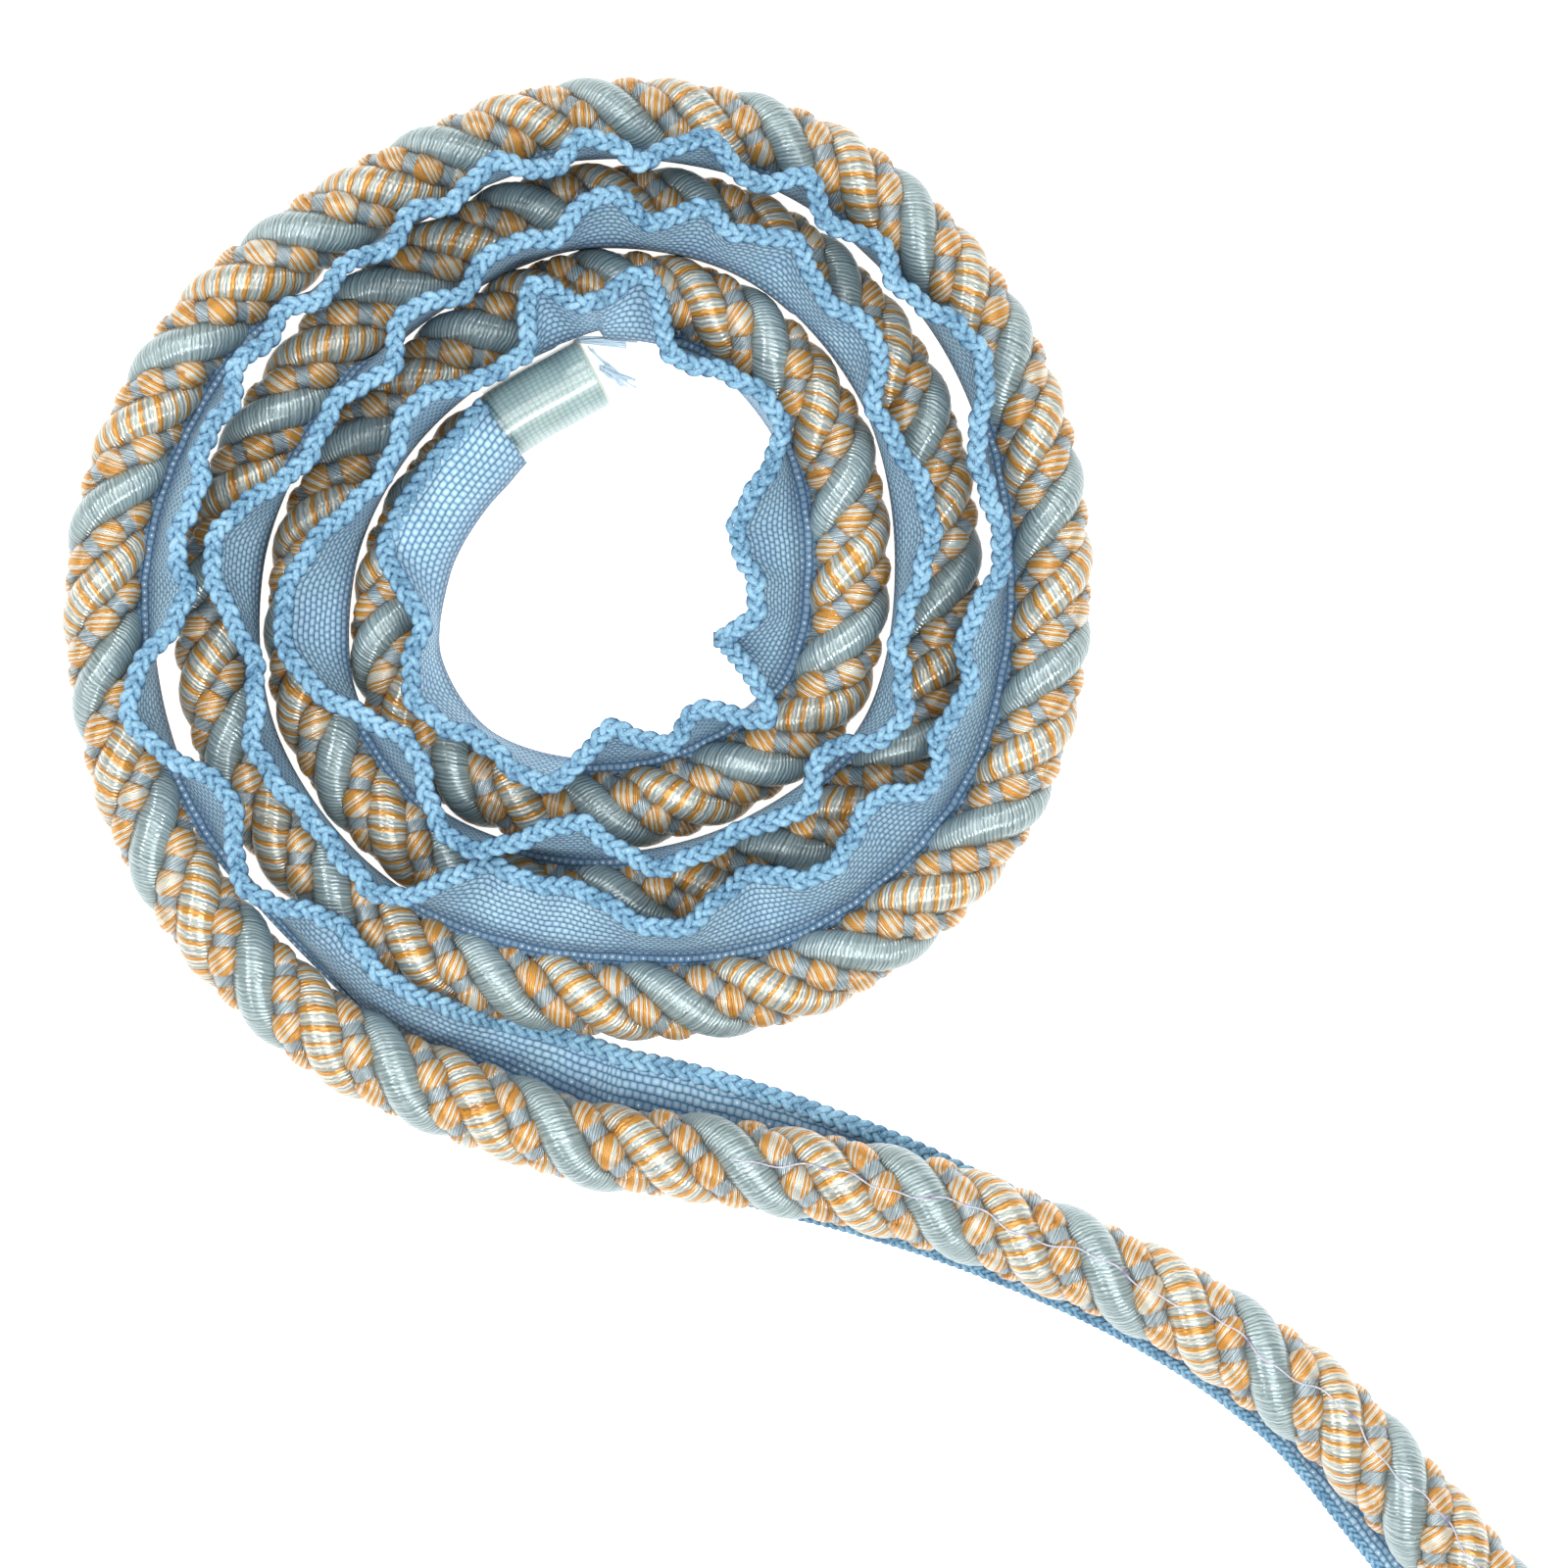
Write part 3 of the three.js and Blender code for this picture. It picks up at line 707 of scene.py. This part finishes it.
def stitching(plies):
    """Running thread over the top of the tail, pulled down a little where it enters the cord"""
    trees = [
        BVHTree.FromPolygons([v.co for v in ply.data.vertices], [p.vertices for p in ply.data.polygons])
        for ply in plies
    ]

    def top_at(point):
        x, y = (point[:2] + COIL_MIDDLE[:2]) * MM
        origin = Vector((x, y, ABOVE_ALL * MM))
        hits = [tree.ray_cast(origin, Vector((0, 0, -1)))[0] for tree in trees]
        return max(hit.z for hit in hits if hit is not None) / MM

    distance = np.arange(STITCH_START, CORD_END - STITCH_END_GAP, STITCH_STEP)
    dents = sum(np.exp(-((distance - hole) / STITCH_DENT_WIDTH) ** 2) for hole in STITCH_HOLES)
    turn = 2 * math.pi * distance / STITCH_LENGTH
    inward = STITCH_INWARD + STITCH_SWAY * np.sin(turn) + STITCH_WAVER * np.sin(STITCH_WAVERS * turn)
    line = in_space(distance, inward, 0 * distance)
    tops = np.array([top_at(point) for point in line])
    spans = np.array([tops[max(i - 1, 0):i + 2].max() for i in range(len(tops))])
    smooth = np.convolve(np.pad(spans, 1, mode="edge"), np.ones(3) / 3, mode="valid")
    line[:, 2] = smooth + STITCH_RADIUS * STITCH_LIFT - STITCH_DENT * dents
    rings = sweep(line, NEARLY_UP, STITCH_RADIUS + STITCH_KNOT * dents, STITCH_SIDES)
    return mesh_from_rings("stitching", [rings], {"knot": [np.minimum(dents, 1)]})


# Materials
def colour(red, green, blue):
    """A display colour, 0 to 255, as the linear values that nodes take, by the sRGB curve"""
    def linear(level):
        return level / 12.92 if level <= 0.04045 else ((level + 0.055) / 1.055) ** 2.4

    return (linear(red / 255), linear(green / 255), linear(blue / 255), 1.0)


SATIN_DARK = colour(104, 124, 126)
SATIN_MID = colour(146, 165, 167)
SATIN_LIGHT = colour(186, 200, 200)
WAIST_LIGHT = colour(188, 204, 212)
ORANGE_DARK = colour(152, 96, 26)
ORANGE = colour(216, 150, 52)
BARREL_END_SHADE = colour(120, 72, 26)
CREAM = colour(224, 216, 196)
CREAM_DARK = colour(186, 174, 148)
GROOVE_SHADOW_COLOUR = colour(92, 82, 66)
PAINTED_CREASE_SHADE = colour(58, 52, 44)
TAPE_SHADOW = colour(60, 106, 140)
TAPE_MID = colour(141, 185, 210)
TAPE_LIGHT = colour(194, 219, 233)
PAINTED_ROOT_SHADOW = colour(38, 68, 104)
PATCH_DIM = colour(225, 230, 240)
PATCH_PLAIN = colour(255, 255, 255)
PLAIT_PAINTED_SHADE = colour(52, 94, 136)
FRAY_LIGHT = colour(206, 224, 238)
GLINT = colour(222, 234, 246)
LILAC = colour(176, 174, 190)
LILAC_LIGHT = colour(212, 212, 222)
LILAC_DARK = colour(112, 100, 128)
CORE_DARK = colour(52, 96, 108)
CORE_MID = colour(112, 156, 160)
CORE_LIGHT = colour(164, 194, 190)
CORE_EDGE_CREAM = colour(222, 220, 196)
FILM_GREEN = colour(205, 226, 220)
FILM_PALE = colour(232, 240, 232)
FLOOR_DIM = colour(246, 246, 246)
FLOOR_PALE = colour(252, 252, 252)
WHITE = (1.0, 1.0, 1.0, 1.0)

# Thread wound round a ply
GIMP = {"Roughness": 0.29, "Specular_IOR_Level": 1.0, "Metallic": 0.28}
GIMP_GRAIN = 0.85
THREAD_PITCH = 0.36
THREAD_RELIEF = 0.05
THREAD_WANDER = 0.5
GROOVE_SHADE = 0.25
STRIPE_LENGTH = 1.4
BEAD_STRIPE_LENGTH = 1.12
# How the painted shade of a crease deepens towards the cord's middle, and the most of it
CREASE_SLOPE = -4.0
CREASE_START = 3.54
CREASE_MOST = 0.93

# The tape's weave
WARP_PITCH = 1.0
WEFT_PITCH = 0.86
# An even number, so that the rows counted stay above zero
ROWS_BEFORE = 50.0
# Painted glints on the proudest threads: how proud, how rare, and how much rarer for each millimetre outwards
GLINT_HEIGHT = 0.975
GLINT_CHANCE = 0.5
GLINT_THINNING = -0.016

# The weave inside the wrap, and how much of its end is cream
CORE_WARP_PITCH = 0.61
CORE_WEFT_PITCH = 0.75
CREAM_WIDTH = 0.5


class Look:
    """A material built from short calls, most of which return an output socket"""

    def __init__(self, name, **settings):
        self.material = bpy.data.materials.new(name)
        self.material.use_nodes = True
        self.nodes = self.material.node_tree.nodes
        self.links = self.material.node_tree.links
        self.shader = self.nodes["Principled BSDF"]
        for socket, value in settings.items():
            self.shader.inputs[socket.replace("_", " ")].default_value = value

    def feed(self, socket, value):
        if isinstance(value, bpy.types.NodeSocket):
            self.links.new(value, socket)
        elif value is not None:
            socket.default_value = value

    def attribute(self, name):
        node = self.nodes.new("ShaderNodeAttribute")
        node.attribute_name = name
        return node.outputs["Fac"]

    def math(self, operation, a, b=None, c=None, clamp=False):
        node = self.nodes.new("ShaderNodeMath")
        node.operation = operation
        node.use_clamp = clamp
        for socket, value in zip(node.inputs, (a, b, c)):
            self.feed(socket, value)
        return node.outputs[0]

    def scaled(self, value, by, plus=0.0, clamp=False):
        return self.math("MULTIPLY_ADD", value, by, plus, clamp)

    def noise_line(self, value, scale, detail):
        """Noise along a line"""
        node = self.nodes.new("ShaderNodeTexNoise")
        node.noise_dimensions = "1D"
        self.feed(node.inputs["W"], value)
        node.inputs["Scale"].default_value = scale
        node.inputs["Detail"].default_value = detail
        return node.outputs[0]

    def noise(self, scale, detail=3.0):
        """Noise in the piece's own space"""
        place = self.nodes.new("ShaderNodeTexCoord")
        node = self.nodes.new("ShaderNodeTexNoise")
        self.links.new(place.outputs["Object"], node.inputs["Vector"])
        node.inputs["Scale"].default_value = scale
        node.inputs["Detail"].default_value = detail
        return node.outputs[0]

    def ramp(self, value, stops):
        node = self.nodes.new("ShaderNodeValToRGB")
        elements = node.color_ramp.elements
        while len(elements) < len(stops):
            elements.new(1.0)
        for element, (position, shade) in zip(elements, stops):
            element.position = position
            element.color = shade
        self.feed(node.inputs[0], value)
        return node.outputs[0]

    def blend(self, share, a, b, kind="MIX"):
        node = self.nodes.new("ShaderNodeMix")
        node.data_type = "RGBA"
        node.blend_type = kind
        self.feed(node.inputs["Factor"], share)
        self.feed(node.inputs[6], a)
        self.feed(node.inputs[7], b)
        return node.outputs[2]

    def colour_from(self, value):
        self.feed(self.shader.inputs["Base Color"], value)

    def grain(self, stretch):
        """Stretches highlights lengthwise, as thread wound round a ply does"""
        node = self.nodes.new("ShaderNodeTangent")
        node.direction_type = "UV_MAP"
        node.uv_map = GRAIN_MAP
        self.links.new(node.outputs[0], self.shader.inputs["Tangent"])
        self.shader.inputs["Anisotropic"].default_value = stretch

    def bump(self, height, distance, strength=1.0):
        node = self.nodes.new("ShaderNodeBump")
        node.inputs["Distance"].default_value = distance * MM
        node.inputs["Strength"].default_value = strength
        self.feed(node.inputs["Height"], height)
        self.links.new(node.outputs[0], self.shader.inputs["Normal"])

    def wave(self, value, period):
        """Sine of a value in millimetres, from 0 to 1 once each period"""
        sine = self.math("SINE", self.scaled(value, by=2 * math.pi / period))
        return self.scaled(sine, by=0.5, plus=0.5)

    def cushions(self, value, sharpness):
        """Rounded humps, one for each unit of a value, with grooves at whole numbers"""
        sine = self.math("SINE", self.scaled(value, by=math.pi))
        return self.math("POWER", self.math("ABSOLUTE", sine), sharpness)


def wound_threads(look, along):
    """Relief of fine thread wound round a ply, with some turns prouder, then the turns alone from 0 to 1"""
    place = look.scaled(look.noise(scale=700.0, detail=2.0), by=THREAD_WANDER, plus=along)
    turns = look.wave(place, THREAD_PITCH)
    uneven = look.noise_line(place, scale=1.3, detail=3.0)
    return look.scaled(uneven, by=0.9, plus=turns), turns


def with_painted_crease_shade(look, shades):
    """Paints shade on a ply where it dips in between the others"""
    depth = look.scaled(look.attribute("reach"), by=CREASE_SLOPE, plus=CREASE_START, clamp=True)
    return look.blend(look.scaled(depth, by=CREASE_MOST), shades, PAINTED_CREASE_SHADE)


def with_painted_groove_shade(look, shades, turns):
    """Paints shade on a ply between the turns of its thread"""
    return look.blend(look.scaled(turns, by=-GROOVE_SHADE, plus=GROOVE_SHADE), shades, GROOVE_SHADOW_COLOUR)


def stripes(look, along, period, wander, stops):
    """Colours that repeat along a ply, in stripes of uneven width"""
    shift = look.scaled(look.noise_line(along, scale=0.42, detail=1.0), by=wander)
    ragged = look.scaled(look.noise(scale=900.0, detail=2.0), by=0.34)
    place = look.math("ADD", look.math("ADD", look.math("DIVIDE", along, period), shift), ragged)
    return look.ramp(look.math("FRACT", place), stops)


def satin_shades(look, along, turns):
    uneven = look.scaled(look.noise_line(along, scale=3.1, detail=3.0), by=0.8)
    # The thread's turns also paint shade in the grooves between them
    tone = look.scaled(turns, by=0.22, plus=uneven)
    return look.ramp(tone, [(0.25, SATIN_DARK), (0.5, SATIN_MID), (0.75, SATIN_LIGHT)])


def striped_shades(look, along, turns):
    shades = stripes(look, along, STRIPE_LENGTH, wander=0.9, stops=[
        (0.0, ORANGE_DARK), (0.05, ORANGE), (0.24, ORANGE), (0.29, CREAM), (0.42, CREAM), (0.46, SATIN_MID),
        (0.6, SATIN_LIGHT), (0.65, CREAM), (0.76, CREAM), (0.8, SATIN_MID), (0.95, CREAM_DARK),
        (1.0, ORANGE_DARK),
    ])
    return with_painted_groove_shade(look, shades, turns)


def beaded_shades(look, along, turns):
    """Striped barrels with painted shade at their ends, and satin waists"""
    barrel = stripes(look, along, BEAD_STRIPE_LENGTH, wander=2.2, stops=[
        (0.0, ORANGE_DARK), (0.08, ORANGE), (0.42, ORANGE), (0.5, CREAM), (0.68, CREAM), (0.74, SATIN_LIGHT),
        (0.84, CREAM), (0.94, ORANGE), (1.0, ORANGE_DARK),
    ])
    waist = look.ramp(look.noise_line(along, scale=4.0, detail=2.0), [(0.35, SATIN_DARK), (0.6, WAIST_LIGHT)])
    end_shade = look.scaled(look.attribute("bulge"), by=-0.55, plus=0.55)
    shades = look.blend(look.attribute("barrel"), waist, look.blend(end_shade, barrel, BARREL_END_SHADE))
    return with_painted_groove_shade(look, shades, turns)


def gimp_look(name, shades_for):
    """A ply of wound thread, whose shades come from the distance along it and the turns of the thread"""
    look = Look(name, **GIMP)
    look.grain(GIMP_GRAIN)
    along = look.attribute("along")
    relief, turns = wound_threads(look, along)
    look.colour_from(with_painted_crease_shade(look, shades_for(look, along, turns)))
    look.bump(relief, THREAD_RELIEF)
    return look.material


def weave_relief(look, along, across):
    """Height of a plain weave: rows of small cushions, each row half a cushion on from the one before"""
    wander = look.scaled(look.noise(scale=300.0, detail=2.0), by=0.75)
    row_place = look.math("ADD", look.math("DIVIDE", across, WEFT_PITCH), wander)
    odd_row = look.math("MODULO", look.math("FLOOR", look.math("ADD", row_place, ROWS_BEFORE)), 2.0)
    shift = look.scaled(odd_row, by=0.5, plus=wander)
    column_place = look.math("ADD", look.math("DIVIDE", along, WARP_PITCH), shift)
    columns = look.scaled(look.cushions(column_place, sharpness=0.6), by=0.7, plus=0.3)
    return look.math("MULTIPLY", columns, look.cushions(row_place, sharpness=0.45))


def tape_look():
    look = Look("lip_weave", Roughness=0.62, Specular_IOR_Level=0.25, Sheen_Weight=0.05)
    along, across = look.attribute("along"), look.attribute("across")
    relief = weave_relief(look, along, across)
    shades = look.ramp(relief, [(0.12, TAPE_SHADOW), (0.58, TAPE_MID), (0.95, TAPE_LIGHT)])
    patches = look.ramp(look.noise(scale=160.0), [(0.3, PATCH_DIM), (0.7, PATCH_PLAIN)])
    toned = look.blend(1.0, shades, patches, "MULTIPLY")
    # Painted shadow of the cord: darkest at the tape's root in the coil and beside the cord on the tail, and
    # a little over the rest of the flat tail
    shaded = look.blend(look.scaled(look.attribute("painted_cord_shadow"), by=0.65), toned, PAINTED_ROOT_SHADOW)
    proud = look.math("GREATER_THAN", relief, GLINT_HEIGHT)
    chance = look.scaled(across, by=GLINT_THINNING, plus=look.noise(scale=1100.0, detail=1.0))
    lit = look.math("MULTIPLY", proud, look.math("GREATER_THAN", chance, GLINT_CHANCE))
    look.colour_from(look.blend(look.scaled(lit, by=0.85), shaded, GLINT))
    fuzz = look.scaled(look.noise(scale=3000.0), by=0.25)
    look.bump(look.math("ADD", relief, fuzz), distance=0.22, strength=0.9)
    return look.material


def plait_look():
    look = Look("lip_yarn", Roughness=0.6, Specular_IOR_Level=0.3, Sheen_Weight=0.05)
    fibres = look.noise(scale=2600.0, detail=2.0)
    tone = look.scaled(fibres, by=0.5, plus=look.scaled(look.noise(scale=350.0), by=0.5))
    shades = look.ramp(tone, [(0.3, TAPE_SHADOW), (0.56, TAPE_MID), (0.9, TAPE_LIGHT)])
    # Painted shade on the low sides of the strands, where they pass under one another
    painted_shade = look.scaled(look.attribute("height"), by=-1.7, plus=0.78, clamp=True)
    look.colour_from(look.blend(painted_shade, shades, PLAIT_PAINTED_SHADE))
    look.bump(fibres, distance=0.08, strength=0.6)
    return look.material


def core_look():
    look = Look(
        "bound_weave", Roughness=0.5, Specular_IOR_Level=0.5,
        Coat_Weight=1.0, Coat_Roughness=0.27, Coat_IOR=2.1,
    )
    along, around = look.attribute("along"), look.attribute("around")
    wander = look.scaled(look.noise(scale=260.0, detail=2.0), by=0.9)
    row_place = look.math("ADD", look.math("DIVIDE", along, CORE_WEFT_PITCH), wander)
    column_place = look.math("ADD", look.math("DIVIDE", around, CORE_WARP_PITCH), wander)
    columns = look.cushions(column_place, sharpness=0.3)
    relief = look.math("MULTIPLY", look.cushions(row_place, sharpness=0.3), columns)
    tone = look.scaled(relief, by=0.62, plus=look.scaled(look.noise(scale=240.0, detail=4.0), by=0.5))
    shades = look.ramp(tone, [(0.36, CORE_DARK), (0.66, CORE_MID), (0.92, CORE_LIGHT)])
    at_end = look.math("LESS_THAN", along, CREAM_WIDTH)
    look.colour_from(look.blend(at_end, shades, CORE_EDGE_CREAM))
    look.bump(relief, distance=0.15, strength=0.6)
    return look.material


def film_look():
    look = Look("clear_film", Roughness=0.22, Specular_IOR_Level=1.0, Alpha=0.32)
    look.colour_from(look.ramp(look.noise(scale=90.0), [(0.3, FILM_GREEN), (0.7, FILM_PALE)]))
    look.bump(look.noise(scale=160.0, detail=1.0), distance=0.05, strength=0.2)
    return look.material


def thread_look(name, shade, light, knot_shade=None):
    """Fine loose thread, in another shade at its knots if one is given"""
    look = Look(name, Roughness=0.5, Specular_IOR_Level=0.5, Sheen_Weight=0.2)
    shades = look.ramp(look.noise(scale=1800.0, detail=2.0), [(0.3, shade), (0.7, light)])
    if knot_shade:
        shades = look.blend(look.attribute("knot"), shades, knot_shade)
    look.colour_from(shades)
    look.bump(look.noise(scale=4000.0, detail=1.0), distance=0.08, strength=0.6)
    return look.material


def floor_look():
    look = Look(
        "pale_floor", Roughness=0.9, Specular_IOR_Level=0.1, Emission_Strength=0.8, Emission_Color=WHITE,
    )
    look.colour_from(look.ramp(look.noise(scale=6.0), [(0.0, FLOOR_DIM), (1.0, FLOOR_PALE)]))
    return look.material


def dress(piece, material):
    piece.data.materials.append(material)
    return piece


# Camera, floor and light
def add_camera():
    data = bpy.data.cameras.new("photo_camera")
    data.sensor_width = SENSOR_WIDTH
    data.lens = SENSOR_WIDTH * (CAMERA_HEIGHT - REST_HEIGHT) / PHOTO_WIDTH
    camera = bpy.data.objects.new("photo_camera", data)
    camera.location = (
        (PHOTO_MIDDLE[0] + COIL_MIDDLE[0]) * MM, (PHOTO_MIDDLE[1] + COIL_MIDDLE[1]) * MM, CAMERA_HEIGHT * MM,
    )
    bpy.context.scene.collection.objects.link(camera)
    bpy.context.scene.camera = camera


def add_floor():
    mesh = bpy.data.meshes.new("floor")
    corners = [(x * FLOOR_REACH, y * FLOOR_REACH, 0) for x, y in ((-1, -1), (1, -1), (1, 1), (-1, 1))]
    mesh.from_pydata(corners, [], [(0, 1, 2, 3)])
    floor = bpy.data.objects.new("floor", mesh)
    bpy.context.scene.collection.objects.link(floor)
    mesh.materials.append(floor_look())


def add_lights():
    for name, azimuth, height, length, width, power in LAMPS:
        data = bpy.data.lights.new(name, "AREA")
        data.shape = "RECTANGLE"
        data.size, data.size_y = length, width
        data.energy = power
        lamp = bpy.data.objects.new(name, data)
        a, e = math.radians(azimuth), math.radians(height)
        away = Vector((math.cos(e) * math.sin(a), math.cos(e) * math.cos(a), math.sin(e)))
        lamp.location = away * LAMP_DISTANCE
        lamp.rotation_euler = away.to_track_quat("Z", "Y").to_euler()
        bpy.context.scene.collection.objects.link(lamp)
    world = bpy.data.worlds.new("studio")
    world.use_nodes = True
    background = world.node_tree.nodes["Background"]
    background.inputs["Color"].default_value = WHITE
    background.inputs["Strength"].default_value = SKY_STRENGTH
    bpy.context.scene.world = world
    bpy.context.scene.view_settings.view_transform = "Standard"


add_camera()
add_floor()
add_lights()

satin = dress(fat_ply("satin_ply", 0, SATIN_STEP), gimp_look("satin_gimp", satin_shades))
striped = dress(fat_ply("striped_ply", 2, STRIPED_STEP), gimp_look("striped_gimp", striped_shades))
beaded_material = gimp_look("beaded_gimp", beaded_shades)
beaded_first = dress(thin_ply("beaded_ply_a", 1), beaded_material)
beaded_second = dress(thin_ply("beaded_ply_b", 3), beaded_material)
core = dress(bound_core(), core_look())
lilac_material = thread_look("lilac_thread", LILAC, LILAC_LIGHT, LILAC_DARK)
stitches = dress(stitching([satin, striped, beaded_first, beaded_second]), lilac_material)

lip_distance, lip_shares, lip_points = lip_shape()
sheet = dress(lip_sheet(lip_distance, lip_shares, lip_points), tape_look())
plait_material = plait_look()
plait = dress(lip_plait("lip_plait", lip_distance, lip_points[:, -1], 1), plait_material)
shows = lip_distance > SEWN_EDGE_START
sewn_edge = lip_plait("sewn_edge", lip_distance[shows], lip_points[shows, 0], SEWN_EDGE_SIZE)
sewn_edge = dress(sewn_edge, plait_material)
frays = dress(frayed_threads(), thread_look("frayed_yarn", TAPE_LIGHT, FRAY_LIGHT))
film = dress(wrap_film(), film_look())

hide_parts("twisted_cord")
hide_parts("lip_tape")
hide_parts("end_wrap")

path_places = ALONG[::PATH_EVERY]
cord_path = in_space(path_places, creep(path_places), cord_height(path_places))
cord_path = (cord_path + COIL_MIDDLE) * MM
